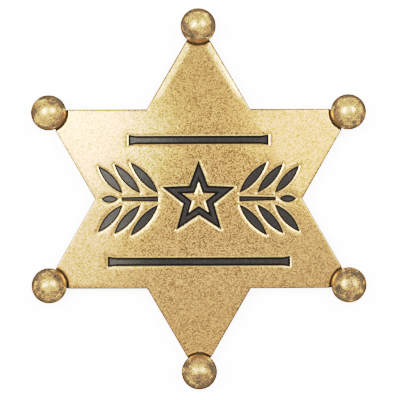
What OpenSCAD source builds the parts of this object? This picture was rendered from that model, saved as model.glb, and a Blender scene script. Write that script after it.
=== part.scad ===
// Star badge: a domed, six-pointed star of struck brass with a ball on the end of each point.
// Black filled marks are pressed into the face, and a pin bar crosses the hollow back.
// The badge lies on its back on the small flat feet of the six balls.
// +X is to the right, +Y is towards the top point and +Z comes out of the face.

/* [Star] */
// Distance from the centre to the sharp end of a point, which hides under its ball
star_reach = 35.9; // [33:0.1:39]
// Height that the face falls from its centre to the sharp ends
dome_rise = 2.2; // [1.8:0.1:3]
// Thickness of the struck sheet
sheet_t = 1; // [0.9:0.05:1.2]
// Height of the turned-down edge above the surface that the badge lies on, beside a ball
rim_clear = 0.4; // [0.2:0.05:0.7]
// Width of the turned-down edge
edge_w = 1; // [0.7:0.1:1.4]

/* [Ball tips] */
// Radius of a ball
ball_r = 3.6; // [3.2:0.1:4.2]
// Distance of a ball's centre inwards from the sharp end of its point
ball_inset = 1.3; // [0.8:0.1:2]
// Radius of the flat foot under a ball
foot_r = 1.2; // [0.9:0.05:1.6]
// Height of a ball's centre above the face beside it
ball_lift = 0.6; // [0.3:0.05:1]
// Width of the dark groove between a ball and the end of its point
crease_w = 0.22; // [0.15:0.01:0.4]
// Width of the tongue that carries a ball
tongue_w = 2.4; // [1.8:0.1:3]
// Thickness of the tongue
tongue_t = 0.9; // [0.7:0.05:1]
// Depth of the tongue's top below the face, at the ball's centre
tongue_drop = 0.2; // [0.1:0.05:0.3]
// Distance that the tongue reaches past the ball's centre
tongue_past = 1.2; // [0.5:0.1:1.6]

/* [Rules] */
// Width of a rule
rule_w = 1.6; // [1.2:0.1:2]
// Length of the upper rule
upper_rule_l = 28; // [22:0.5:34]
// Length of the lower rule
lower_rule_l = 36.4; // [30:0.5:42]
// Brass left above the upper rule, up to the straight line between the upper inner corners
upper_rule_margin = 5.4; // [4.5:0.1:6]
// Brass left below the lower rule, down to the straight line between the lower inner corners
lower_rule_margin = 4.6; // [4:0.1:6]
// Width that the end of a rule flares on each side
rule_flare = 0.22; // [0.1:0.02:0.4]
// Length of the flared end of a rule
rule_flare_l = 1.4; // [0.8:0.1:2.5]

/* [Star mark and sprigs] */
// Distance from the middle of the star mark to its tips
mark_reach = 7.6; // [6.5:0.1:8.2]
// Inner corners of the star mark, as a share of its reach
mark_waist = 0.42; // [0.36:0.01:0.5]
// Width of the black line of the star mark
mark_line = 1.45; // [1:0.05:1.7]
// Brass left between the star mark and the sprigs
sprig_margin = 0.9; // [0.6:0.05:1.4]
// Brass left between the end of a sprig and the side corner of the star
side_margin = 1.3; // [1:0.05:2]
// Width of the stem beside the star mark
stem_w = 1; // [0.8:0.05:1.3]
// Width of the stem at its outer end
stem_tip_w = 0.6; // [0.4:0.05:0.8]
// Length of the longest leaf
leaf_l = 8.2; // [6.5:0.1:8.6]
// Width of a leaf
leaf_w = 1.8; // [1.4:0.05:2.2]
// Length of the leaf at the end of the stem
end_leaf_l = 3.3; // [2.8:0.1:4]
// Width of the leaf at the end of the stem
end_leaf_w = 1.4; // [1:0.05:1.8]
// Angle between a leaf and the stem
leaf_angle = 48; // [40:1:58]
// Brass left between two leaves on one side
leaf_web = 0.85; // [0.5:0.05:1.2]
// Brass left between a leaf and the stem
stem_web = 0.7; // [0.4:0.05:0.9]
// Share of its length that the outermost side leaf has lost
leaf_taper = 0.12; // [0:0.02:0.3]

/* [Black filling] */
// Depth of the pressed marks
mark_depth = 0.5; // [0.42:0.02:0.6]
// Thickness of the black filling
fill_t = 0.25; // [0.2:0.01:0.38]

/* [Pin bar] */
// Length of the strip across the back
strip_l = 27; // [22:0.5:31]
// Width of the strip
strip_w = 3.4; // [2.8:0.1:4.5]
// Thickness of the strip
strip_t = 0.5; // [0.4:0.05:0.6]
// Distance of the pin bar above the centre
pin_y = 6; // [0:0.5:8]
// Radius of the pin's stem
pin_r = 0.4; // [0.3:0.05:0.5]
// Wall of the hook and of the knuckle round the stem
hook_wall = 0.35; // [0.3:0.05:0.5]
// Length of the hook along the stem
hook_l = 2.2; // [1.5:0.1:3]
// Thickness of each cheek beside the knuckle
cheek_t = 0.6; // [0.4:0.05:0.8]
// Distance of the cheeks from the sides of the strip
cheek_inset = 0.15; // [0.1:0.05:0.4]
// Distance of the knuckle and of the hook from the ends of the strip
end_inset = 0.3; // [0.1:0.1:1]
// Length of straight stem past the hook
pin_past = 0.5; // [0.2:0.1:1]
// Length of the stem's point
pin_point_l = 1.4; // [1:0.1:2]
// Radius of the blunt end of the point
pin_point_r = 0.1; // [0.05:0.05:0.2]
// Height of the lowest part of the pin bar above the surface that the badge lies on
pin_clear = 0.15; // [0.1:0.05:0.3]

/* [Fits] */
// Gap round the side of a black filling
fill_gap = 0.05; // [0.03:0.01:0.1]
// Gap under a filling and over the strip
seat_gap = 0.03; // [0.02:0.01:0.06]
// Gap round a tongue in its ball
tongue_gap = 0.05; // [0.03:0.01:0.1]
// Gap between the stem and its hook
hook_gap = 0.1; // [0.06:0.02:0.16]

/* [Hidden] */
POINTS = 6;
TURN = 360 / POINTS;
MARK_POINTS = 5;
MARK_TURN = 180 / MARK_POINTS;
$fn = 72;

BRASS = [0.80, 0.68, 0.43];
BLACK = [0.20, 0.19, 0.18];
STEEL = [0.70, 0.70, 0.68];

// Facets used to preview the shallow dome, whose circle is far larger than the badge
dome_fn = 2400;
round_fn = 180;
// Height that is more than any part of the badge, for cuts that go right through
through = 20;
// Distance that a cut starts outside what it cuts
cut_past = 1;

// The sides of a six-pointed star lie half its reach from the centre
side_distance = star_reach / 2;
corner_reach = star_reach / sqrt(3);
dome_r = (star_reach * star_reach + dome_rise * dome_rise) / (2 * dome_rise);
function dome_fall(r) = dome_r - sqrt(dome_r * dome_r - r * r);

ball_ring = star_reach - ball_inset;
ball_mid_z = sqrt(ball_r * ball_r - foot_r * foot_r);
face_at_ball = ball_mid_z - ball_lift;
face_top = face_at_ball + dome_fall(ball_ring);
back_top = face_top - sheet_t;
edge_depth = face_at_ball - rim_clear;
end_r = ball_r + crease_w;
tongue_top = face_at_ball - tongue_drop;

upper_rule_y = side_distance - upper_rule_margin - rule_w / 2;
lower_rule_y = lower_rule_margin + rule_w / 2 - side_distance;

// Distance from the middle of the star mark to the lines of its edges
mark_edge = mark_reach * mark_waist * sin(MARK_TURN)
    / sqrt(1 + mark_waist * mark_waist - 2 * mark_waist * cos(MARK_TURN));
stem_start = mark_reach * sin(2 * MARK_TURN) + sprig_margin;
stem_end = corner_reach - side_margin - end_leaf_l - stem_web;
leaf_pitch = (leaf_w + leaf_web) / sin(leaf_angle);
pairs = floor((stem_end - stem_start) / leaf_pitch) + 1;

fill_top = face_top - mark_depth + seat_gap + fill_t;

strip_top = back_top - seat_gap;
pin_z = pin_clear + hook_wall + hook_gap + pin_r;
hook_r = pin_r + hook_gap + hook_wall;
knuckle_x = end_inset + hook_r - strip_l / 2;
hook_x = strip_l / 2 - end_inset - hook_l;

// Solid under the domed face: its top is at the given height on the axis, and it is equally deep all over
module dome_slab(top, depth) {
    reach = star_reach + ball_r;
    rotate_extrude($fn = round_fn)
        intersection() {
            difference() {
                translate([0, top - dome_r]) circle(dome_r, $fn = dome_fn);
                translate([0, top - depth - dome_r]) circle(dome_r, $fn = dome_fn);
            }
            translate([0, -through]) square([reach, 2 * through]);
        }
}

// A flat outline made as tall as the badge
module prism() {
    translate([0, 0, -through / 2]) linear_extrude(through) children();
}

// Children at each point of the star, the first at the top, then clockwise
module at_point(n) {
    rotate(90 - TURN * (n - 1)) translate([ball_ring, 0, 0]) children();
}

module star_outline(reach) {
    corner = reach / sqrt(3);
    polygon([for (i = [0:2 * POINTS - 1])
        let (r = i % 2 == 0 ? reach : corner, a = 90 + i * TURN / 2)
        [r * cos(a), r * sin(a)]]);
}

// The marks take grow, the distance that their outline moves outwards: less than nothing for a filling
module rule_outline(length, grow) {
    half = length / 2 + grow;
    slim = rule_w / 2 + grow;
    wide = slim + rule_flare;
    inner = half - rule_flare_l;
    polygon([
        [-half, -wide], [-inner, -slim], [inner, -slim], [half, -wide],
        [half, wide], [inner, slim], [-inner, slim], [-half, wide]
    ]);
}

module five_points(edge) {
    reach = mark_reach * edge / mark_edge;
    polygon([for (i = [0:2 * MARK_POINTS - 1])
        let (r = i % 2 == 0 ? reach : reach * mark_waist, a = 90 + i * MARK_TURN)
        [r * cos(a), r * sin(a)]]);
}

module star_mark_outline(grow) {
    difference() {
        five_points(mark_edge + grow);
        five_points(mark_edge - mark_line - grow);
    }
}

// Leaf along +X from its pointed foot at the origin
module leaf_outline(length, width, grow) {
    arc_r = (length * length + width * width) / (4 * width);
    translate([length / 2, 0])
        intersection_for (side = [-1, 1])
            translate([0, side * (arc_r - width / 2)]) circle(arc_r + grow, $fn = 240);
}

module sprig_outline(grow) {
    polygon([
        [stem_start - grow, -stem_w / 2 - grow], [stem_end + grow, -stem_tip_w / 2 - grow],
        [stem_end + grow, stem_tip_w / 2 + grow], [stem_start - grow, stem_w / 2 + grow]
    ]);
    for (i = [0:pairs - 1], side = [-1, 1])
        translate([stem_start + i * leaf_pitch, side * (stem_w / 2 + stem_web)])
            rotate(side * leaf_angle)
                leaf_outline(leaf_l * (1 - leaf_taper * i / max(pairs - 1, 1)), leaf_w, grow);
    translate([stem_end + stem_web, 0]) leaf_outline(end_leaf_l, end_leaf_w, grow);
}

module all_marks_outline() {
    translate([0, upper_rule_y]) rule_outline(upper_rule_l, 0);
    translate([0, lower_rule_y]) rule_outline(lower_rule_l, 0);
    star_mark_outline(0);
    sprig_outline(0);
    mirror([1, 0]) sprig_outline(0);
}

module fill() {
    color(BLACK)
        intersection() {
            prism() children();
            dome_slab(fill_top, fill_t);
        }
}

// Outline of the struck sheet, cut back round the balls, with its edge moved inwards by inset
module sheet_outline(inset) {
    difference() {
        star_outline(star_reach - 2 * inset);
        for (n = [1:POINTS]) at_point(n) circle(end_r + inset, $fn = round_fn);
    }
}

// Flat tongue on the end of a point, or with room the slot for it in a ball
module tongue(room) {
    translate([-end_r - edge_w / 2, -tongue_w / 2 - room, tongue_top - tongue_t - room])
        cube([end_r + edge_w / 2 + tongue_past + room, tongue_w + 2 * room, tongue_t + 2 * room]);
}

module star_plate() {
    color(BRASS)
        difference() {
            union() {
                intersection() {
                    prism() sheet_outline(0);
                    dome_slab(face_top, sheet_t);
                }
                intersection() {
                    prism() difference() {
                        sheet_outline(0);
                        sheet_outline(edge_w);
                    }
                    dome_slab(face_top, edge_depth);
                }
                for (n = [1:POINTS]) at_point(n) tongue(0);
            }
            intersection() {
                prism() all_marks_outline();
                dome_slab(face_top + cut_past, mark_depth + cut_past);
            }
        }
}

module ball_tip(n) {
    color(BRASS)
        at_point(n)
            difference() {
                intersection() {
                    translate([0, 0, ball_mid_z]) sphere(ball_r, $fn = 96);
                    cylinder(h = 3 * ball_r, r = 2 * ball_r);
                }
                tongue(tongue_gap);
            }
}

module fill_rule_upper() {
    fill() translate([0, upper_rule_y]) rule_outline(upper_rule_l, -fill_gap);
}

module fill_rule_lower() {
    fill() translate([0, lower_rule_y]) rule_outline(lower_rule_l, -fill_gap);
}

module fill_star() {
    fill() star_mark_outline(-fill_gap);
}

module fill_sprig_right() {
    fill() sprig_outline(-fill_gap);
}

module fill_sprig_left() {
    mirror([1, 0, 0]) fill_sprig_right();
}

// Block that reaches up from the stem's height into the strip
module under_strip(x, y, length, width) {
    intersection() {
        translate([x, y, pin_z]) cube([length, width, through]);
        dome_slab(strip_top - strip_t / 2, through / 2);
    }
}

module along_stem(x) {
    translate([x, pin_y, pin_z]) rotate([0, 90, 0]) children();
}

// Strip, cheeks, knuckle, stem and hook in one, with the stem lying in its open hook
module pin_bar() {
    bore_r = pin_r + hook_gap;
    knuckle_l = strip_w - 2 * cheek_inset;
    stem_end_x = hook_x + hook_l + pin_past;
    color(STEEL) {
        intersection() {
            translate([-strip_l / 2, pin_y - strip_w / 2, 0]) cube([strip_l, strip_w, through]);
            dome_slab(strip_top, strip_t);
        }
        for (y = [pin_y - knuckle_l / 2, pin_y + knuckle_l / 2 - cheek_t])
            under_strip(knuckle_x - hook_r, y, 2 * hook_r, cheek_t);
        translate([knuckle_x, pin_y, pin_z]) rotate([90, 0, 0])
            cylinder(h = knuckle_l, r = hook_r, center = true);
        along_stem(knuckle_x) cylinder(h = stem_end_x - knuckle_x, r = pin_r);
        along_stem(stem_end_x) cylinder(h = pin_point_l, r1 = pin_r, r2 = pin_point_r);
        difference() {
            union() {
                along_stem(hook_x) cylinder(h = hook_l, r = hook_r);
                under_strip(hook_x, pin_y - hook_r, hook_l, hook_r);
            }
            along_stem(hook_x - cut_past) cylinder(h = hook_l + 2 * cut_past, r = bore_r);
            translate([hook_x - cut_past, pin_y, pin_z - bore_r])
                cube([hook_l + 2 * cut_past, hook_r + cut_past, 2 * bore_r]);
        }
    }
}

star_plate();
for (n = [1:POINTS])
    ball_tip(n);
fill_rule_upper();
fill_rule_lower();
fill_star();
fill_sprig_left();
fill_sprig_right();
pin_bar();
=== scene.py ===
import math

import bpy
import numpy as np
from mathutils import Matrix, Vector, geometry, kdtree


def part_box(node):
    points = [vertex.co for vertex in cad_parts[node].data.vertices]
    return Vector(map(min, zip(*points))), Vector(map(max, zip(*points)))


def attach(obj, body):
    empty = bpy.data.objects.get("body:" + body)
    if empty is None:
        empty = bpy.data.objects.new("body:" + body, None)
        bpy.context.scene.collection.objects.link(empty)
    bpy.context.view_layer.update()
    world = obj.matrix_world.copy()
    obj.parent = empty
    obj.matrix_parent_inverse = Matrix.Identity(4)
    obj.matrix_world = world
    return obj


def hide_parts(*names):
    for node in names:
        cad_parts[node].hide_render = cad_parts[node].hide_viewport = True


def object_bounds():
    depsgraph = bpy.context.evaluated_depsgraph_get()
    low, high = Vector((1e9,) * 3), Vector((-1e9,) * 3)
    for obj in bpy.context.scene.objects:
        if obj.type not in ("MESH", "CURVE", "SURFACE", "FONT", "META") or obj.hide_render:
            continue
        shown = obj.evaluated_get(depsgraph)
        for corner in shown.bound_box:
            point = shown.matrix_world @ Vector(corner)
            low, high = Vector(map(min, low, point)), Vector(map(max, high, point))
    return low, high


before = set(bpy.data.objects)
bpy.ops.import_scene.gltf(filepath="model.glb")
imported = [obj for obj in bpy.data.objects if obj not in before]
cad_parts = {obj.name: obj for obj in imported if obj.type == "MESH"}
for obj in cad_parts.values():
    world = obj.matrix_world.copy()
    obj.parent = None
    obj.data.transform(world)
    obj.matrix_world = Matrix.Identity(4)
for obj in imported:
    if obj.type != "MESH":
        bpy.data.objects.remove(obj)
cad_low, cad_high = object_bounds()

mm = 0.001


# Star plate
# One struck sheet of brass with six points, domed, its edge turned down all round and rounded over on
# the face. Two rules, a star and two leaf sprigs are pressed into the face, each with a soft rim.
# A flat tongue on the end of each point carries a ball. The finish is lacquered antique brass.
POINTS = 6
ball_low, ball_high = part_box("ball_tip_1")
ball_r = (ball_high.x - ball_low.x) / 2
ball_ring = (ball_high.y + ball_low.y) / 2
ball_mid_z = ball_high.z - ball_r
ball_inset = 1.3 * mm
crease_w = 0.22 * mm
end_r = ball_r + crease_w

star_reach = ball_ring + ball_inset
dome_rise = 2.2 * mm
dome_r = (star_reach**2 + dome_rise**2) / (2 * dome_rise)
face_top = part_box("star_plate")[1].z
sheet_t = 1.0 * mm
edge_w = 1.0 * mm
edge_depth = 2.394 * mm

# The rounding of the edge on the face, beside the balls, along the turned-down edge and inside it
roll_w = 0.32 * mm
roll_drop = 0.24 * mm
roll_end_w = 0.14 * mm
lip_r = 0.14 * mm
root_r = 0.35 * mm

# The upper right point is bent back a little beyond its base
fold_slope = 0.022
fold_w = 10 * mm
fold_angle = math.radians(30)

# The edges of the top point fall away more softly than the others, from a little beyond its base on
crown_w = 1.7 * mm
crown_drop = 0.2 * mm
crown_start = 0.3 * mm
crown_blend = 4 * mm

# How much shade is painted dark on the side of the edge, under it, inside it and on the back, and, as
# painted shade with dirt, on the tongues and in the creases at the balls, how fast the painted shade
# comes over the rounded edge, and the share of it that is left where the edge goes round a ball
side_dark = 0.9
under_dark = 0.3
inside_dark = 0.6
back_dark = 0.25
crease_dark = 0.9
edge_dark_rise = 1.8
end_dark = 0.75

# The pressed marks: the depth of their floor, their rounded rims, worn and painted with shade close to
# the wall, and the shallow hollow round them
mark_depth = 0.5 * mm
rim_slope = 0.34
rim_curve = 1.4
rim_worn = 0.5
rim_worn_curve = 0.7
rim_dark_curve = 9
rule_rim = 0.34 * mm
star_rim = 0.42 * mm
sprig_rim = 0.36 * mm
hollow_depth = 0.02 * mm
hollow_w = 1.1 * mm
fill_gap = 0.05 * mm

rule_w = 1.6 * mm
rule_flare = 0.22 * mm
rule_flare_l = 1.4 * mm
mark_reach = 7.6 * mm
mark_waist = 0.42
mark_line = 1.45 * mm
sprig_margin = 0.9 * mm
side_margin = 1.3 * mm
stem_w = 1.0 * mm
stem_tip_w = 0.6 * mm
leaf_l = 8.2 * mm
leaf_w = 1.8 * mm
end_leaf_l = 3.3 * mm
end_leaf_w = 1.4 * mm
leaf_angle = math.radians(48)
leaf_web = 0.85 * mm
stem_web = 0.7 * mm
leaf_taper = 0.12

# Spacing of the mesh along outlines and over the face and the back, how clear of other points the
# points of a grid keep, as a share of its step, and the rings and rows of points of rounded parts
outline_step = 0.4 * mm
face_step = 0.52 * mm
back_step = 1.1 * mm
grid_clear = 0.6
roll_rings = 8
lip_rings = 4
crease_rows = 13

# Rows of mesh points over a rim, as shares of its width. A corner that opens outwards by more than
# fan_bend radians gets a fan of rows, less than fan_step apart. A point is left out where a wall
# lies nearer than rim_clear times its distance from its own.
RIM_ROWS = (0.12, 0.32, 0.6, 0.85, 1.0)
fan_bend = 0.5
fan_step = 0.6
rim_clear = 0.93


def dome_height(x, y):
    """Height of the domed face over a place."""
    return face_top - dome_r + np.sqrt(dome_r**2 - x**2 - y**2)


def turned(points, angle):
    """Points of an outline turned about the origin."""
    c, s = math.cos(angle), math.sin(angle)
    return points @ np.array([[c, s], [-s, c]])


def sheet_loop(inset, end_inset):
    """Outline of the sheet, anticlockwise, its edges and its ends round the balls moved inwards."""
    apex = star_reach - 2 * inset
    ring = end_r + end_inset
    half = ball_ring + apex / 3
    meet = 0.75 * (half - math.sqrt(half**2 - 4 / 3 * (ball_ring**2 + apex**2 / 3 - ring**2)))
    across = (apex - meet) / math.sqrt(3)
    corner = np.array([apex / 2, apex / 2 / math.sqrt(3)])
    steps = math.ceil(star_reach / math.sqrt(3) / outline_step)
    arc_steps = math.ceil(3 * end_r / 2 / outline_step) + 4
    share = np.linspace(0, 1, steps, endpoint=False)[:, None]
    swing = math.atan2(across, ball_ring - meet)
    arc = np.linspace(swing, -swing, arc_steps, endpoint=False)
    out_to_ball = corner * (1, -1) * (1 - share) + np.array([meet, -across]) * share
    round_ball = np.column_stack([ball_ring - ring * np.cos(arc), -ring * np.sin(arc)])
    back_in = np.array([meet, across]) * (1 - share) + corner * share
    arm = np.vstack([out_to_ball, round_ball, back_in])
    return np.vstack([turned(arm, math.radians(90 + 360 / POINTS * n)) for n in range(POINTS)])


def sided_loop(corners_at, grow):
    """Points along the straight sides between corners, as many for any growth of the outline."""
    plain = np.array(corners_at(0))
    grown = np.array(corners_at(grow))
    sides = []
    for i in range(len(plain)):
        nxt = (i + 1) % len(plain)
        steps = max(3, math.ceil(np.linalg.norm(plain[nxt] - plain[i]) / outline_step))
        share = np.linspace(0, 1, steps, endpoint=False)[:, None]
        sides.append(grown[i] * (1 - share) + grown[nxt] * share)
    return np.vstack(sides)


def rule_loop(node):
    """Outline of a rule with flared ends, clockwise, as long as the filling that lies in it."""
    low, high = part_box(node)
    length = high.x - low.x + 2 * fill_gap
    middle = (high.y + low.y) / 2

    def corners(grow):
        half = length / 2 + grow
        slim = rule_w / 2 + grow
        wide = slim + rule_flare
        inner = half - rule_flare_l
        upper = [(-half, wide), (-inner, slim), (inner, slim), (half, wide)]
        lower = [(half, -wide), (inner, -slim), (-inner, -slim), (-half, -wide)]
        return [(x, y + middle) for x, y in upper + lower]

    return lambda grow: sided_loop(corners, grow)


star_turn = math.pi / 5
star_edge = mark_reach * mark_waist * math.sin(star_turn)
star_edge /= math.sqrt(1 + mark_waist**2 - 2 * mark_waist * math.cos(star_turn))


def five_points(edge):
    """Corners of the star mark, anticlockwise from its top, by the distance of its edges."""
    reach = mark_reach * edge / star_edge
    corners = []
    for i in range(10):
        r = reach if i % 2 == 0 else reach * mark_waist
        angle = math.pi / 2 + i * star_turn
        corners.append((r * math.cos(angle), r * math.sin(angle)))
    return corners


def star_outer(grow):
    return sided_loop(lambda g: five_points(star_edge + g)[::-1], grow)


def star_inner(grow):
    return sided_loop(lambda g: five_points(star_edge - mark_line - g), grow)


stem_start = mark_reach * math.sin(2 * star_turn) + sprig_margin
stem_end = star_reach / math.sqrt(3) - side_margin - end_leaf_l - stem_web
leaf_pitch = (leaf_w + leaf_web) / math.sin(leaf_angle)
leaf_pairs = math.floor((stem_end - stem_start) / leaf_pitch) + 1


def stem_loop(grow):
    """Outline of the tapered stem of the right sprig, clockwise."""

    def corners(g):
        wide, slim = stem_w / 2 + g, stem_tip_w / 2 + g
        start, end = stem_start - g, stem_end + g
        return [(start, wide), (end, slim), (end, -slim), (start, -wide)]

    return sided_loop(corners, grow)


def leaf_loop(foot, angle, length, width):
    """Outline of a pointed leaf, clockwise: two arcs that meet in its foot and its tip."""
    arc_r = (length**2 + width**2) / (4 * width)
    off = arc_r - width / 2
    steps = math.ceil(length / outline_step)

    def loop(grow):
        r = arc_r + grow
        swing = np.linspace(-math.acos(off / r), math.acos(off / r), steps, endpoint=False)
        upper = np.column_stack([r * np.sin(swing), r * np.cos(swing) - off])
        lower = -upper
        return turned(np.vstack([upper, lower]) + (length / 2, 0), angle) + foot

    return loop


def sprig_loops():
    """Outlines of the right sprig: its stem, its pairs of leaves and the leaf on its end."""
    loops = [stem_loop]
    for i in range(leaf_pairs):
        length = leaf_l * (1 - leaf_taper * i / max(leaf_pairs - 1, 1))
        for side in (-1, 1):
            foot = (stem_start + i * leaf_pitch, side * (stem_w / 2 + stem_web))
            loops.append(leaf_loop(foot, side * leaf_angle, length, leaf_w))
    loops.append(leaf_loop((stem_end + stem_web, 0), 0, end_leaf_l, end_leaf_w))
    return loops


def mirrored(loop):
    """The same outline on the left side, still with the metal on its left."""
    return lambda grow: loop(grow)[::-1] * (-1, 1)


# Each mark has the node of its filling, the outlines of its recess, the width of its rim and that of
# its slimmest stroke
MARKS = {
    "fill_rule_upper": ([rule_loop("fill_rule_upper")], rule_rim, rule_w),
    "fill_rule_lower": ([rule_loop("fill_rule_lower")], rule_rim, rule_w),
    "fill_star": ([star_outer, star_inner], star_rim, mark_line),
    "fill_sprig_left": ([mirrored(loop) for loop in sprig_loops()], sprig_rim, stem_tip_w),
    "fill_sprig_right": (sprig_loops(), sprig_rim, stem_tip_w),
}


def tree_of(points):
    tree = kdtree.KDTree(len(points))
    for index, (x, y) in enumerate(points):
        tree.insert((x, y, 0), index)
    tree.balance()
    return tree


def between(loop, count):
    """The points of an outline with more points between them."""
    share = np.linspace(0, 1, count, endpoint=False)[:, None, None]
    return (loop * (1 - share) + np.roll(loop, -1, axis=0) * share).reshape(-1, 2)


wall_points = []
wall_rims = []
for loops, rim, _ in MARKS.values():
    for loop in loops:
        fine = between(loop(0), 8)
        wall_points.append(fine)
        wall_rims.append(np.full(len(fine), rim))
wall_points = np.vstack(wall_points)
wall_rims = np.concatenate(wall_rims)
wall_tree = tree_of(wall_points)


def crown(points):
    """Depth that the face loses towards the edges of the top point."""
    x, y = np.abs(points[:, 0]), points[:, 1]
    away = (star_reach - y - math.sqrt(3) * x) / 2
    near_top = np.clip((y - star_reach / 2 - crown_start) / crown_blend, 0, 1)
    return crown_drop * np.clip(1 - away / crown_w, 0, 1) ** 2 * near_top**2 * (3 - 2 * near_top)


def fold(points):
    """Depth that the face loses beyond the base of the upper right point."""
    out = points @ np.array([math.cos(fold_angle), math.sin(fold_angle)]) - star_reach / 2
    out = np.clip(out, 0, fold_w)
    return fold_slope * (out - out**2 / (2 * fold_w))


def face_shape(points):
    """Depth of the face at each point, with how worn it is and how much shade is painted on it at the
    walls of the marks.

    The face sinks a little round the marks and rounds down to their walls."""
    found = [wall_tree.find((x, y, 0)) for x, y in points]
    away = np.array([item[2] for item in found])
    rim = wall_rims[[item[1] for item in found]]
    share = np.clip(1 - away / rim, 0, 1)
    depth = hollow_depth * np.exp(-((away / hollow_w) ** 2))
    depth += rim_slope * rim * share**rim_curve + crown(points) + fold(points)
    # the last share is painted shade, darkening the rim right at the wall
    return depth, rim_worn * share**rim_worn_curve, share**rim_dark_curve


def rim_points(loop, rim):
    """Rows of points beside an outline, over the width of its rim, that fan out round its corners."""
    before = loop - np.roll(loop, 1, axis=0)
    after = np.roll(loop, -1, axis=0) - loop
    kept = []
    for point, back, ahead in zip(loop, before, after):
        first = math.atan2(back[0], -back[1])
        bend = (math.atan2(ahead[0], -ahead[1]) - first + math.pi) % (2 * math.pi) - math.pi
        fan = [bend / 2]
        if bend <= -fan_bend:
            fan = list(np.linspace(0, bend, 2 + math.ceil(-bend / fan_step)))
        for away in RIM_ROWS:
            for swing in fan:
                spot = point + away * rim * np.array([math.cos(first + swing), math.sin(first + swing)])
                if wall_tree.find((*spot, 0))[2] > rim_clear * away * rim:
                    kept.append(spot)
    return kept


class Pressing:
    """Collects one piece as rings of points, bands between rings, and panels between outlines.

    Each point has its place, its depth under the domed face, and two shares that the finish reads:
    how worn it is and how much dark colour is painted on it, which is painted shade, with dirt in the
    creases."""

    def __init__(self):
        self.points = []
        self.worn = []
        self.dark = []
        self.faces = []

    def ring(self, loop, depth, worn=0.0, dark=0.0):
        start = len(self.points)
        depths, worns, darks = (np.broadcast_to(value, len(loop)) for value in (depth, worn, dark))
        self.points += [(x, y, -d) for (x, y), d in zip(loop, depths)]
        self.worn += list(worns)
        self.dark += list(darks)
        return list(range(start, start + len(loop)))

    def band(self, ring, nxt):
        """Faces between two rings of equal count, with the metal on their left and nxt further on."""
        for i in range(len(ring)):
            j = (i + 1) % len(ring)
            self.faces.append((nxt[i], nxt[j], ring[j], ring[i]))

    def bands(self, rings):
        for ring, nxt in zip(rings, rings[1:]):
            self.band(ring, nxt)

    def panel(self, rings, step, shape, up=True, extra=()):
        """Triangles that fill the space on the left of rings, with a grid of points inside."""
        border = [i for ring in rings for i in ring]
        flat = np.array([self.points[i][:2] for i in border])
        ahead = {i: ring[(k + 1) % len(ring)] for ring in rings for k, i in enumerate(ring)}
        edges = []
        start = 0
        for ring in rings:
            edges += [(start + i, start + (i + 1) % len(ring)) for i in range(len(ring))]
            start += len(ring)
        fixed = np.vstack([flat, extra]) if len(extra) else flat
        inside = np.vstack([fixed[len(flat) :], self.grid_points(fixed, step)])
        points = [Vector(point) for point in np.vstack([flat, inside])]
        found = geometry.delaunay_2d_cdt(points, edges, [], 1, 1e-9)
        triangles, sources = found[2], found[3]
        order = border + self.ring(inside, *shape(inside))
        triangles = [tuple(order[sources[i][0]] for i in triangle) for triangle in triangles]
        sides = {}
        for n, (a, b, c) in enumerate(triangles):
            sides[a, b] = sides[b, c] = sides[c, a] = n
        # The triangles on the left of a ring are kept, and all that they reach without crossing one
        waiting = [sides[i, j] for i, j in ahead.items()]
        kept = set(waiting)
        while waiting:
            a, b, c = triangles[waiting.pop()]
            for i, j in ((a, b), (b, c), (c, a)):
                other = sides.get((j, i))
                if other is not None and other not in kept and ahead.get(i) != j and ahead.get(j) != i:
                    kept.add(other)
                    waiting.append(other)
        self.faces += [triangles[n] if up else triangles[n][::-1] for n in sorted(kept)]

    @staticmethod
    def grid_points(fixed, step):
        """Points of a triangular grid over an area that keep clear of the points already there."""
        low, high = fixed.min(axis=0), fixed.max(axis=0)
        tree = tree_of(fixed)
        kept = []
        row_step = step * math.sqrt(3) / 2
        for row, y in enumerate(np.arange(low[1], high[1], row_step)):
            for x in np.arange(low[0] + (row % 2) * step / 2, high[0], step):
                if tree.find((x, y, 0))[2] > grid_clear * step:
                    kept.append((x, y))
        return np.array(kept).reshape(-1, 2)

    def block(self, low, high, angle, out):
        """A closed flat block, with its ends given in the frame of a ball, that the dome won't bend."""
        start = len(self.points)
        for z in (low[2], high[2]):
            for x, y in ((low[0], low[1]), (high[0], low[1]), (high[0], high[1]), (low[0], high[1])):
                px, py = turned(np.array([[x + out, y]]), angle)[0]
                self.points.append((px, py, z - dome_height(px, py)))
        self.worn += [0.0] * 8
        self.dark += [crease_dark] * 8
        for face in ((3, 2, 1, 0), (4, 5, 6, 7), (0, 1, 5, 4), (1, 2, 6, 5), (2, 3, 7, 6), (3, 0, 4, 7)):
            self.faces.append(tuple(start + i for i in face))

    def fillet(self, near, far, swing, low, high, angle):
        """A closed strip along the end of a point, close to its ball, dark: dirt and painted shade in the
        crease.
        """
        start = len(self.points)
        turns = np.linspace(-swing, swing, crease_rows)
        for t in turns:
            for r, z in ((near, low), (far, low), (far, high), (near, high)):
                x, y = ball_ring - r * math.cos(t), r * math.sin(t)
                px, py = turned(np.array([[x, y]]), angle)[0]
                self.points.append((px, py, z - dome_height(px, py)))
        count = 4 * len(turns)
        self.worn += [0.0] * count
        self.dark += [crease_dark] * count
        for i in range(start, start + count - 4, 4):
            for k in range(4):
                n = (k + 1) % 4
                self.faces.append((i + n, i + 4 + n, i + 4 + k, i + k))
        self.faces.append((start + 3, start + 2, start + 1, start))
        last = start + count - 4
        self.faces.append((last, last + 1, last + 2, last + 3))

    def mesh(self, name):
        mesh = bpy.data.meshes.new(name)
        used = sorted({i for face in self.faces for i in face})
        order = {old: new for new, old in enumerate(used)}
        faces = [tuple(order[i] for i in face) for face in self.faces]
        mesh.from_pydata([self.points[i] for i in used], [], faces)
        for label, values in (("worn", self.worn), ("dark", self.dark)):
            attribute = mesh.attributes.new(label, "FLOAT", "POINT")
            attribute.data.foreach_set("value", [values[i] for i in used])
        mesh.validate()
        return mesh


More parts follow.
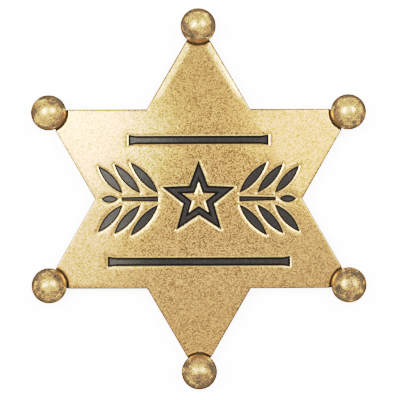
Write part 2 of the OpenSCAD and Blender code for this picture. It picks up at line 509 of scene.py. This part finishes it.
class Socket:
    """A socket of a node tree, so that a sum of masks and noises reads as plain arithmetic."""

    def __init__(self, tree, socket=None):
        self.tree = tree
        self.socket = socket

    def node(self, kind, out, sockets=None, **settings):
        """Adds a node, with its settings first, then the values or links of its sockets."""
        made = self.tree.nodes.new(kind)
        for name, value in settings.items():
            setattr(made, name, value)
        for key, value in (sockets or {}).items():
            place = made.inputs[key]
            if isinstance(value, Socket):
                self.tree.links.new(value.socket, place)
            else:
                place.default_value = value
        return Socket(self.tree, made.outputs[out]) if out is not None else made

    def maths(self, operation, a, b=0.0):
        return self.node("ShaderNodeMath", 0, {0: a, 1: b}, operation=operation)

    def __add__(self, other):
        return self.maths("ADD", self, other)

    def __radd__(self, other):
        return self.maths("ADD", other, self)

    def __sub__(self, other):
        return self.maths("SUBTRACT", self, other)

    def __rsub__(self, other):
        return self.maths("SUBTRACT", other, self)

    def __mul__(self, other):
        return self.maths("MULTIPLY", self, other)

    def __rmul__(self, other):
        return self.maths("MULTIPLY", other, self)

    def __truediv__(self, other):
        return self.maths("DIVIDE", self, other)

    def __pow__(self, other):
        return self.maths("POWER", self, other)

    def larger(self, other):
        return self.maths("MAXIMUM", self, other)

    def smaller(self, other):
        return self.maths("MINIMUM", self, other)

    def rise(self, low, high):
        """Goes smoothly from 0 to 1 as this goes from low to high."""
        sockets = {"Value": self, "From Min": low, "From Max": high}
        return self.node("ShaderNodeMapRange", 0, sockets, interpolation_type="SMOOTHSTEP")

    def blend(self, colour_a, colour_b):
        """The colour between two colours at this share."""
        sockets = {0: self.smaller(1.0).larger(0.0), 6: colour_a, 7: colour_b}
        return self.node("ShaderNodeMix", 2, sockets, data_type="RGBA")


def press_tree():
    """Nodes that bend a flat piece onto the dome of the face."""
    tree = bpy.data.node_groups.new("press_on_dome", "GeometryNodeTree")
    tree.interface.new_socket("Geometry", in_out="OUTPUT", socket_type="NodeSocketGeometry")
    tree.interface.new_socket("Geometry", in_out="INPUT", socket_type="NodeSocketGeometry")
    for name in ("Dome Radius", "Face Top"):
        tree.interface.new_socket(name, in_out="INPUT", socket_type="NodeSocketFloat")
    tree.interface.new_socket("Material", in_out="INPUT", socket_type="NodeSocketMaterial")
    root = Socket(tree)
    given = root.node("NodeGroupInput", None)
    radius = Socket(tree, given.outputs["Dome Radius"])
    top = Socket(tree, given.outputs["Face Top"])
    place = root.node("GeometryNodeInputPosition", 0)
    split = root.node("ShaderNodeSeparateXYZ", None, {0: place})
    x, y = Socket(tree, split.outputs[0]), Socket(tree, split.outputs[1])
    height = top - radius + (radius * radius - x * x - y * y) ** 0.5
    lift = root.node("ShaderNodeCombineXYZ", 0, {2: height})
    flat = Socket(tree, given.outputs["Geometry"])
    pressed = root.node("GeometryNodeSetPosition", 0, {"Geometry": flat, "Offset": lift})
    loose = root.node("GeometryNodeRealizeInstances", 0, {0: pressed})
    material = Socket(tree, given.outputs["Material"])
    coated = root.node("GeometryNodeSetMaterial", 0, {"Geometry": loose, "Material": material})
    root.node("NodeGroupOutput", None, {0: coated})
    return tree


def grown(name, mesh, tree, inputs):
    """The piece that a tree of nodes makes of a mesh, as a plain object with smooth faces.

    Edges that bend by more than sharp_angle stay sharp."""
    sharp_angle = math.radians(38)
    piece = bpy.data.objects.new(name, mesh)
    bpy.context.scene.collection.objects.link(piece)
    modifier = piece.modifiers.new(name, "NODES")
    modifier.node_group = tree
    for item in tree.interface.items_tree:
        if item.in_out == "INPUT" and item.name in inputs:
            modifier[item.identifier] = inputs[item.name]
    seen = piece.evaluated_get(bpy.context.evaluated_depsgraph_get())
    made = bpy.data.meshes.new_from_object(seen)
    piece.modifiers.remove(modifier)
    piece.data = made
    made.name = name
    made.polygons.foreach_set("use_smooth", [True] * len(made.polygons))
    made.set_sharp_from_angle(angle=sharp_angle)
    return piece


def new_finish(name, **constants):
    """A material with one main shader: the root of its tree, and the shader itself."""
    material = bpy.data.materials.new(name)
    material.use_nodes = True
    tree = material.node_tree
    shader = tree.nodes["Principled BSDF"]
    for label, value in constants.items():
        shader.inputs[label.replace("_", " ").title().replace("Ior", "IOR")].default_value = value
    return material, Socket(tree), shader


def millimetres(root):
    """Place on the piece, in millimetres."""
    place = root.node("ShaderNodeTexCoord", "Object")
    return root.node("ShaderNodeVectorMath", 0, {0: place, 1: (1000, 1000, 1000)}, operation="MULTIPLY")


def noise(root, place, scale, detail, rough):
    sockets = {"Vector": place, "Scale": scale, "Detail": detail, "Roughness": rough}
    return root.node("ShaderNodeTexNoise", 0, sockets)


def antique_brass():
    """Brass with a fine brown speckle, a few dark pits and worn edges, under clear lacquer, and painted
    shade in brown where the piece's dark share lies.
    """
    glint = (1.0, 0.505, 0.235, 1)
    gold = (0.61, 0.345, 0.131, 1)
    olive = (0.185, 0.152, 0.026, 1)
    rosy = (0.66, 0.34, 0.165, 1)
    brown = (0.022, 0.015, 0.009, 1)
    rubbed = (0.90, 0.67, 0.33, 1)
    material, root, shader = new_finish("antique_brass", metallic=1.0, coat_roughness=0.06, roughness=0.2)
    shader.inputs["Specular Tint"].default_value = (0.78, 0.68, 0.50, 1)
    place = millimetres(root)
    flakes = root.node("ShaderNodeTexVoronoi", None, {"Vector": place, "Scale": 6.6, "Randomness": 1.0})
    flake = root.node("ShaderNodeSeparateXYZ", 0, {0: Socket(root.tree, flakes.outputs["Color"])})
    grain = noise(root, place, 5.0, 1.5, 0.7)
    blot = noise(root, place, 1.3, 2.0, 0.5)
    cloud = noise(root, place, 0.22, 2.0, 0.5)
    cells = root.node("ShaderNodeTexVoronoi", None, {"Vector": place, "Scale": 0.36, "Randomness": 1.0})
    near = Socket(root.tree, cells.outputs["Distance"])
    lot = root.node("ShaderNodeSeparateXYZ", 0, {0: Socket(root.tree, cells.outputs["Color"])})
    pits = (1 - near.rise(0.03, 0.062)) * lot.rise(0.55, 0.6)
    worn = root.node("ShaderNodeAttribute", "Fac", attribute_name="worn")
    dark = root.node("ShaderNodeAttribute", "Fac", attribute_name="dark")
    out = root.node("ShaderNodeVectorMath", 1, {0: place}, operation="LENGTH")
    amount = 1 - 0.56 * out.rise(8.0, 24.0)
    tone = 0.5 + (flake - 0.5) * amount * 2.5 + (grain - 0.5) * 0.3
    tone = tone + (blot - 0.5) * 0.2 + (cloud - 0.5) * 0.2
    colour = (tone * 2.0).blend(olive, gold)
    colour = (tone * 2.0 - 1.0).blend(colour, glint)
    colour = (cloud.rise(0.45, 0.75) * 0.15).blend(colour, rosy)
    colour = worn.blend(colour, rubbed)
    # painted shade in brown on the edge's sides, under and inside the sheet, on the back, at the marks'
    # walls, on the tongues and, with dirt, in the creases; the pits are the metal's own
    colour = (pits.larger(dark * (0.85 + 0.3 * grain))).blend(colour, brown)
    root.tree.links.new(colour.socket, shader.inputs["Base Color"])
    rough = 0.15 + 0.3 * dark
    root.tree.links.new(rough.socket, shader.inputs["Roughness"])
    lacquer = 0.4 * (1 - dark)
    root.tree.links.new(lacquer.socket, shader.inputs["Coat Weight"])
    height = grain - pits * 2.0
    sockets = {"Height": height, "Distance": 0.005 * mm, "Strength": 0.8}
    bump = root.node("ShaderNodeBump", 0, sockets)
    root.tree.links.new(bump.socket, shader.inputs["Normal"])
    return material


def level(depth, worn=0.0, dark=0.0):
    """The shape of a panel that lies at one depth."""
    return lambda points: (depth, worn, dark)


def beside_balls(loop):
    """A share that is 1 along the straight edges and less where an edge goes round its ball."""
    spots = turned(np.array([[ball_ring, 0.0]]), math.radians(90))
    spots = np.vstack([turned(spots, math.radians(360 / POINTS * n)) for n in range(POINTS)])
    away = np.min([np.hypot(*(loop - spot).T) for spot in spots], axis=0)
    slack = 0.01 * mm
    return np.where(away > end_r + roll_end_w + slack, 1.0, end_dark)


# The face, from its middle out over the rounded edge, down, under and up to the back, with shade
# painted dark over the rounded edge, on the side, under it, inside it and on the back
plate = Pressing()
rings = []
for turn in np.linspace(0, math.pi / 2, roll_rings):
    loop = sheet_loop(roll_w * (1 - math.sin(turn)), roll_end_w * (1 - math.sin(turn)))
    drop = roll_drop * (1 - math.cos(turn))
    # painted shade that comes over the rounded edge, less of it where the edge goes round a ball
    dark = min(1, edge_dark_rise * math.sin(turn)) ** 2 * beside_balls(loop)
    rings.append(plate.ring(loop, face_shape(loop)[0] + drop, 0, dark))
lip_turns = np.linspace(0, math.pi / 2, lip_rings)
for turn in lip_turns:
    inset = lip_r * (1 - math.cos(turn))
    depth = edge_depth - lip_r * (1 - math.sin(turn))
    rings.append(plate.ring(sheet_loop(inset, inset), depth, 0, side_dark))
for turn in lip_turns:
    inset = edge_w - lip_r * (1 - math.sin(turn))
    depth = edge_depth - lip_r * (1 - math.cos(turn))
    rings.append(plate.ring(sheet_loop(inset, inset), depth, 0, under_dark))
for turn in lip_turns:
    inset = edge_w + root_r * (1 - math.cos(turn))
    depth = sheet_t + root_r * (1 - math.sin(turn))
    rings.append(plate.ring(sheet_loop(inset, inset), depth, 0, inside_dark))
plate.bands(rings)
plate.panel([rings[-1]], back_step, level(sheet_t, 0, back_dark), up=False)

# The marks: a rounded rim, a steep wall and a flat floor for each, the wall and the floor painted dark as
# shade
face_rings = [rings[0]]
rims = []
for loops, rim, _ in MARKS.values():
    floor_rings = []
    for outline in loops:
        loop = outline(0)
        rims += rim_points(loop, rim)
        top = plate.ring(loop, *face_shape(loop))
        floor = plate.ring(loop, mark_depth, 0, 1.0)
        plate.band(top, floor)
        face_rings.append(top)
        floor_rings.append(floor[::-1])
    plate.panel(floor_rings, face_step, level(mark_depth, 0, 1.0))
plate.panel(face_rings, face_step, face_shape, extra=rims)

tongue_w = 2.4 * mm
tongue_t = 0.9 * mm
tongue_past = 1.2 * mm
tongue_top = 2.594 * mm
tongue_low = (-end_r - edge_w / 2, -tongue_w / 2, tongue_top - tongue_t)
tongue_high = (tongue_past, tongue_w / 2, tongue_top)

# Old polish and dirt packed in the crease between each point and its ball, with the shade that falls
# there painted dark on the same strip; the tongues are painted as dark
crease_low, crease_high = 1.5 * mm, 1.8 * mm
crease_near = ball_r - 0.3 * mm
crease_swing = math.radians(40)
for n in range(POINTS):
    angle = math.radians(90 - 360 / POINTS * n)
    plate.block(tongue_low, tongue_high, angle, ball_ring)
    plate.fillet(crease_near, end_r, crease_swing, crease_low, crease_high, angle)

dome = press_tree()
dome_inputs = {"Dome Radius": dome_r, "Face Top": face_top}
plate_inputs = {**dome_inputs, "Material": antique_brass()}
star_plate = grown("struck_plate", plate.mesh("struck_plate"), dome, plate_inputs)
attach(star_plate, "root")
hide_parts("star_plate")


# Ball tips
# Six solid brass balls, one on the end of each point, each with a slot that takes the tongue of its
# point and a small flat foot. They are turned and tumbled, so none is quite even. Brown patina and
# painted shade lie on their sides and round their outlines and thin out towards the top; painted shade
# dims the tops of the bottom and the lower right ball, and their inner flanks are painted pale.
foot_r = 1.2 * mm
tongue_gap = 0.05 * mm
foot_edge = 0.08 * mm
ball_segments = 72
ball_rings = 40


def ball_mesh():
    """One ball about the origin, standing on its foot, with the slot for the tongue on its inner side."""
    lowest = math.acos(-ball_mid_z / ball_r)
    turns = np.linspace(0, lowest, ball_rings)[1:]
    profile = [(ball_r * math.sin(t), ball_mid_z + ball_r * math.cos(t)) for t in turns[:-1]]
    profile.append((foot_r, foot_edge))
    profile.append((foot_r - foot_edge, 0))
    points = [(0, 0, ball_mid_z + ball_r)]
    for r, z in profile:
        for i in range(ball_segments):
            angle = 2 * math.pi * i / ball_segments
            points.append((r * math.cos(angle), r * math.sin(angle), z))
    points.append((0, 0, 0))
    faces = []
    for i in range(ball_segments):
        j = (i + 1) % ball_segments
        faces.append((0, 1 + i, 1 + j))
        for k in range(len(profile) - 1):
            a, b = 1 + k * ball_segments, 1 + (k + 1) * ball_segments
            faces.append((a + i, b + i, b + j, a + j))
        last = 1 + (len(profile) - 1) * ball_segments
        faces.append((last + i, len(points) - 1, last + j))
    mesh = bpy.data.meshes.new("ball")
    mesh.from_pydata(points, [], faces)
    return mesh


def slotted(mesh):
    """The ball with its slot cut."""
    ball = bpy.data.objects.new("ball", mesh)
    low = [v - tongue_gap for v in tongue_low]
    high = [v + tongue_gap for v in tongue_high]
    box = bpy.data.meshes.new("slot")
    corners = [(x, y, z) for x in (low[0], high[0]) for y in (low[1], high[1]) for z in (low[2], high[2])]
    sides = [(0, 1, 3, 2), (4, 6, 7, 5), (0, 4, 5, 1), (2, 3, 7, 6), (0, 2, 6, 4), (1, 5, 7, 3)]
    box.from_pydata(corners, [], sides)
    cutter = bpy.data.objects.new("slot", box)
    for thing in (ball, cutter):
        bpy.context.scene.collection.objects.link(thing)
    cut = ball.modifiers.new("slot", "BOOLEAN")
    cut.object = cutter
    cut.solver = "EXACT"
    seen = ball.evaluated_get(bpy.context.evaluated_depsgraph_get())
    made = bpy.data.meshes.new_from_object(seen)
    for thing in (ball, cutter):
        bpy.data.objects.remove(thing)
    return made


def ring_tree():
    """Nodes that set a ball on each point of the star and give each its own slight dents."""
    tree = bpy.data.node_groups.new("balls_on_points", "GeometryNodeTree")
    tree.interface.new_socket("Geometry", in_out="OUTPUT", socket_type="NodeSocketGeometry")
    tree.interface.new_socket("Geometry", in_out="INPUT", socket_type="NodeSocketGeometry")
    tree.interface.new_socket("Count", in_out="INPUT", socket_type="NodeSocketInt")
    for name in ("Ring", "Dent Depth", "Dents Per Metre", "Foot Height", "Seed"):
        tree.interface.new_socket(name, in_out="INPUT", socket_type="NodeSocketFloat")
    tree.interface.new_socket("Material", in_out="INPUT", socket_type="NodeSocketMaterial")
    root = Socket(tree)
    given = root.node("NodeGroupInput", None)

    def named(name):
        return Socket(tree, given.outputs[name])

    index = root.node("GeometryNodeInputIndex", 0)
    angle = math.pi / 2 - index * (2 * math.pi) / named("Count")
    x = root.maths("COSINE", angle) * named("Ring")
    y = root.maths("SINE", angle) * named("Ring")
    place = root.node("ShaderNodeCombineXYZ", 0, {0: x, 1: y})
    points = root.node("GeometryNodePoints", 0, {"Count": named("Count"), "Position": place})
    euler = root.node("ShaderNodeCombineXYZ", 0, {2: angle})
    turn = root.node("FunctionNodeEulerToRotation", 0, {0: euler})
    sockets = {"Points": points, "Instance": named("Geometry"), "Rotation": turn}
    balls = root.node("GeometryNodeInstanceOnPoints", 0, sockets)
    loose = root.node("GeometryNodeRealizeInstances", 0, {0: balls})
    here = root.node("GeometryNodeInputPosition", 0)
    sockets = {"Vector": here, "W": named("Seed"), "Scale": named("Dents Per Metre"), "Detail": 1.0}
    dents = root.node("ShaderNodeTexNoise", 0, sockets, noise_dimensions="4D")
    height = root.node("ShaderNodeSeparateXYZ", 2, {0: here})
    clear = height.rise(named("Foot Height"), named("Foot Height") * 3)
    depth = 0 - dents * clear * named("Dent Depth")
    normal = root.node("GeometryNodeInputNormal", 0)
    push = root.node("ShaderNodeVectorMath", 0, {0: normal, "Scale": depth}, operation="SCALE")
    uneven = root.node("GeometryNodeSetPosition", 0, {"Geometry": loose, "Offset": push})
    coated = root.node("GeometryNodeSetMaterial", 0, {"Geometry": uneven, "Material": named("Material")})
    root.node("NodeGroupOutput", None, {0: coated})
    return tree


def ball_brass():
    """Polished brass with brown patina in speckles and painted shade, thick round the sides and the
    outline and thin on top, and painted shade over the tops of the lower balls.

    The inner flank, beside the sheet, and the underside stay nearly free of it; the inner flank is
    painted pale and less orange, to tint the sheet's reflection in it."""
    pale = (0.97, 0.60, 0.25, 1)
    tan = (0.30, 0.188, 0.090, 1)
    sheet_reflection_tint = (0.62, 0.54, 0.35, 1)
    brown = (0.064, 0.053, 0.038, 1)
    material, root, shader = new_finish("ball_brass", metallic=1.0, roughness=0.24)
    shader.inputs["Specular Tint"].default_value = (0.30, 0.24, 0.17, 1)
    place = millimetres(root)
    grain = noise(root, place, 4.0, 2.0, 0.75)
    cloud = noise(root, place, 0.55, 3.0, 0.6)
    across = root.node("ShaderNodeSeparateXYZ", 0, {0: place})
    along = root.node("ShaderNodeSeparateXYZ", 1, {0: place})
    # painted shade that dims the highlight of the bottom and lower right balls
    lower = (across * 0.5 - along).rise(-10.0, 34.0)
    height = root.node("ShaderNodeSeparateXYZ", 2, {0: place})
    # brown patina with painted shade on the sides
    side = 1 - height.rise((ball_mid_z + 0.53 * ball_r) / mm, (ball_mid_z + 0.97 * ball_r) / mm)
    speckle = 0.45 + (grain - 0.5) * 5.0 + (cloud - 0.5) * 1.5
    out = root.node("ShaderNodeVectorMath", 1, {0: place}, operation="LENGTH")
    # the inner flank, where the sheet is mirrored: painted pale and less orange to tint that reflection,
    # with less patina
    inner = 1 - out.rise((ball_ring - 0.9 * ball_r) / mm, (ball_ring - 0.3 * ball_r) / mm)
    # painted shade that darkens the outline
    outline = 1 - height.rise((ball_mid_z + 0.05 * ball_r) / mm, (ball_mid_z + 0.45 * ball_r) / mm)
    under = 1 - height.rise(0.2 * ball_mid_z / mm, (ball_mid_z - 0.1 * ball_r) / mm)
    patina_and_shade = side * 1.16 - 0.05 + lower * (1 - side) * 0.5 + outline * 0.42 - inner * 1.1 - under * 0.8
    patina_and_shade = patina_and_shade + (cloud - 0.5) * 2.2 + (grain - 0.5) * 1.6
    patina_and_shade = patina_and_shade.larger(0.0).smaller(1.0)
    colour = speckle.blend(pale, tan)
    colour = inner.blend(colour, sheet_reflection_tint)
    colour = (patina_and_shade * 0.95).blend(colour, brown)
    root.tree.links.new(colour.socket, shader.inputs["Base Color"])
    rough = 0.31 + 0.12 * patina_and_shade
    root.tree.links.new(rough.socket, shader.inputs["Roughness"])
    bump = root.node("ShaderNodeBump", 0, {"Height": grain, "Distance": 0.006 * mm, "Strength": 0.7})
    root.tree.links.new(bump.socket, shader.inputs["Normal"])
    return material


ball_inputs = {
    "Count": POINTS,
    "Ring": ball_ring,
    "Dent Depth": 0.05 * mm,
    "Dents Per Metre": 420.0,
    "Foot Height": 0.25 * mm,
    "Seed": 4.0,
    "Material": ball_brass(),
}
balls = grown("ball_tips", slotted(ball_mesh()), ring_tree(), ball_inputs)
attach(balls, "root")
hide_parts(*[f"ball_tip_{n}" for n in range(1, POINTS + 1)])


# Black filling
# Black enamel paint wiped into the pressed marks: it climbs the walls a little as it dries and sinks
# towards the middle. Its edges are painted black as shade, blacker than its flat, and a painted sheen
# makes its flat greyer on the left.
fill_top = 0.23 * mm
fill_sink = 0.11 * mm
fill_floor = 0.47 * mm
fill_side = 0.02 * mm
fill_step = 0.4 * mm
fill_floor_step = 4 * fill_step

# The bowl of the paint: how far in it reaches, at most as a share of half the slimmest stroke, the
# part of it that is painted black as shade before the grey flat begins, and its rings of points
bowl_w = 0.42 * mm
bowl_share = 0.85
bowl_dark = 0.7
bowl_rings = 7

# The place, in millimetres, that the painted sheen keeps away from
sheen_free_x, sheen_free_y = 8, -5


def black_paint():
    """Satin black enamel, painted black along its edges as shade, with a mottled grey flat that a painted
    sheen makes greyer on the left.
    """
    deep = (0.001, 0.001, 0.001, 1)
    grey = (0.026, 0.022, 0.0195, 1)
    sheen_grey = (0.095, 0.086, 0.074, 1)
    material, root, shader = new_finish("black_filling", specular_ior_level=0.05, coat_roughness=0.08)
    place = millimetres(root)
    cloud = noise(root, place, 0.9, 3.0, 0.6)
    grain = noise(root, place, 2.8, 3.0, 0.7)
    flat = root.node("ShaderNodeAttribute", "Fac", attribute_name="worn")
    off = root.node("ShaderNodeVectorMath", 0, {0: place, 1: (-sheen_free_x, -sheen_free_y, 0)}, operation="ADD")
    away = root.node("ShaderNodeVectorMath", 1, {0: off}, operation="LENGTH")
    # painted sheen: greyer further from that place, with a random mottle
    painted_sheen = away.rise(17.0, 28.0) + (cloud - 0.5) * 0.5 + (grain - 0.5) * 0.8
    colour = painted_sheen.blend(grey, sheen_grey)
    # painted shade: black along the edges of the bowl
    colour = (flat * (0.9 + (grain - 0.5) * 1.5)).blend(deep, colour)
    root.tree.links.new(colour.socket, shader.inputs["Base Color"])
    rough = 0.36 + 0.22 * cloud
    root.tree.links.new(rough.socket, shader.inputs["Roughness"])
    gloss = flat * flat * (0.05 + 0.5 * grain)
    root.tree.links.new(gloss.socket, shader.inputs["Coat Weight"])
    bump = root.node("ShaderNodeBump", 0, {"Height": grain, "Distance": 0.01 * mm, "Strength": 0.6})
    root.tree.links.new(bump.socket, shader.inputs["Normal"])
    return material


paint = black_paint()
for node, (loops, _, stroke) in MARKS.items():
    bowl = min(bowl_w, bowl_share * stroke / 2)
    filling = Pressing()
    top_rings = []
    floor_rings = []
    for outline in loops:
        floor_ring = filling.ring(outline(-fill_side)[::-1], fill_floor)
        steps = [floor_ring]
        for turn in np.linspace(0, math.pi / 2, bowl_rings):
            inwards = 1 - math.cos(turn)
            loop = outline(-fill_side - bowl * inwards)[::-1]
            flat = max(0, inwards - bowl_dark) / (1 - bowl_dark)
            steps.append(filling.ring(loop, fill_top + fill_sink * math.sin(turn), worn=flat))
        filling.bands(steps[::-1])
        top_rings.append(steps[-1])
        floor_rings.append(floor_ring)
    filling.panel(top_rings, fill_step, level(fill_top + fill_sink, 1.0))
    filling.panel(floor_rings, fill_floor_step, level(fill_floor), up=False)
    name = node.replace("fill", "paint")
    piece = grown(name, filling.mesh(name), dome, {**dome_inputs, "Material": paint})
    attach(piece, "root")
    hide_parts(node)


# Pin bar
# The plain steel pin across the hollow back: a strip fixed to the sheet, a knuckle, a stem and a hook,
# plated and bright. Its shape is the frame's own.
def plated_steel():
    bright = (0.62, 0.61, 0.58, 1)
    dull = (0.36, 0.34, 0.31, 1)
    material, root, shader = new_finish("pin_steel", metallic=1.0, roughness=0.25)
    place = millimetres(root)
    smear = noise(root, place, 0.5, 3.0, 0.6)
    grain = noise(root, place, 3.5, 2.0, 0.5)
    colour = (smear.rise(0.4, 0.75) * 0.8).blend(bright, dull)
    root.tree.links.new(colour.socket, shader.inputs["Base Color"])
    rough = 0.2 + 0.25 * smear
    root.tree.links.new(rough.socket, shader.inputs["Roughness"])
    bump = root.node("ShaderNodeBump", 0, {"Height": grain, "Distance": 0.01 * mm, "Strength": 0.4})
    root.tree.links.new(bump.socket, shader.inputs["Normal"])
    return material


pin_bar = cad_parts["pin_bar"]
steel = plated_steel()
for slot in pin_bar.material_slots:
    slot.material = steel


# Table, light and camera
# A white table that glows, and the camera straight over the badge. The face mirrors soft lights on
# the upper left, the left and the upper right, and a weak bluish one below. The others stand
# further out, for the balls and edges.
def white_table():
    size = 3.0
    gap = 0.02 * mm
    z = cad_low.z - gap
    mesh = bpy.data.meshes.new("table")
    corners = [(-size, -size, z), (size, -size, z), (size, size, z), (-size, size, z)]
    mesh.from_pydata(corners, [], [(0, 1, 2, 3)])
    table = bpy.data.objects.new("table", mesh)
    bpy.context.scene.collection.objects.link(table)
    white = (0.93, 0.93, 0.93, 1)
    glow = {"emission_color": white, "emission_strength": 2.3}
    material = new_finish("white_table", roughness=0.6, base_color=white, **glow)[0]
    mesh.materials.append(material)


def softbox(name, azimuth, height, out, side, radiance, tint=(1, 1, 1)):
    """A soft light aimed at the badge, seen from it in one direction.

    It reaches from out[0] to out[1] away from the camera's line and from side[0] to side[1] across it."""
    angle = math.radians(azimuth)
    outwards = Vector((math.cos(angle), math.sin(angle), 0))
    across = Vector((-math.sin(angle), math.cos(angle), 0))
    middle = outwards * sum(out) / 2 + across * sum(side) / 2 + Vector((0, 0, height))
    back = middle.normalized()
    first = across.cross(back).normalized()
    light = bpy.data.lights.new(name, "AREA")
    light.shape = "RECTANGLE"
    light.size = (out[1] - out[0]) * back.z
    light.size_y = side[1] - side[0]
    light.energy = radiance * math.pi * light.size * light.size_y
    light.color = tint
    lamp = bpy.data.objects.new(name, light)
    basis = Matrix((first, back.cross(first), back)).transposed()
    lamp.matrix_world = Matrix.Translation(middle) @ basis.to_4x4()
    lamp.visible_camera = False
    bpy.context.scene.collection.objects.link(lamp)


white_table()
softbox("upper_left_light", 156, 0.75, (0.074, 0.40), (-0.10, 0.04), 2.1, (1, 0.94, 0.92))
softbox("upper_left_core", 152, 0.75, (0.14, 0.40), (-0.10, 0.06), 4.0)
softbox("left_light", 156, 0.75, (0.074, 0.40), (0.04, 0.22), 1.75, (1, 0.80, 0.93))
softbox("upper_right_light", 30, 0.75, (0.13, 0.28), (-0.09, 0.09), 2.6, (1, 0.72, 0.66))
softbox("left_side_light", 165, 0.70, (0.31, 0.62), (-0.22, 0.22), 9.5)
softbox("right_side_light", 25, 0.70, (0.31, 0.62), (-0.20, 0.20), 8.5)
softbox("top_left_light", 128, 0.75, (0.24, 0.58), (-0.13, 0.13), 2.4)
softbox("top_right_light", 52, 0.75, (0.24, 0.58), (-0.13, 0.13), 2.4)
softbox("lower_light", 285, 0.75, (0.06, 0.185), (-0.20, 0.20), 0.1, (0.85, 1, 1.9))
softbox("bottom_light", 270, 0.70, (0.32, 0.60), (-0.20, 0.20), 1.0)

world = bpy.data.worlds.new("studio")
world.use_nodes = True
world.node_tree.nodes["Background"].inputs["Color"].default_value = (0.98, 1.01, 0.99, 1)
world.node_tree.nodes["Background"].inputs["Strength"].default_value = 0.92
bpy.context.scene.world = world

# The picture keeps its tones up to the middle and rolls the bright ones off, as a photo does
view = bpy.context.scene.view_settings
view.view_transform = "Standard"
view.use_curve_mapping = True
tones = view.curve_mapping
tones.white_level = (4, 4, 4)
curve = tones.curves[3]
for place in ((0.0625, 0.25), (0.1375, 0.55), (0.25, 0.72), (0.375, 0.80), (0.525, 0.87), (0.75, 0.956)):
    curve.points.new(*place)
tones.update()

# The camera looks straight down at a place a little beside the origin, turned by a trace
picture_w = 80 * mm
aim_x, aim_y = 0.25 * mm, -0.24 * mm
picture_turn = math.radians(-0.2)
camera_data = bpy.data.cameras.new("camera")
camera_data.lens = 200
camera_data.sensor_width = 36
distance = picture_w * camera_data.lens / camera_data.sensor_width
camera_data.clip_start = 0.05
camera_data.clip_end = 20
camera = bpy.data.objects.new("camera", camera_data)
camera.location = (aim_x, aim_y, ball_mid_z + distance)
camera.rotation_euler = (0, 0, picture_turn)
bpy.context.scene.collection.objects.link(camera)
bpy.context.scene.camera = camera
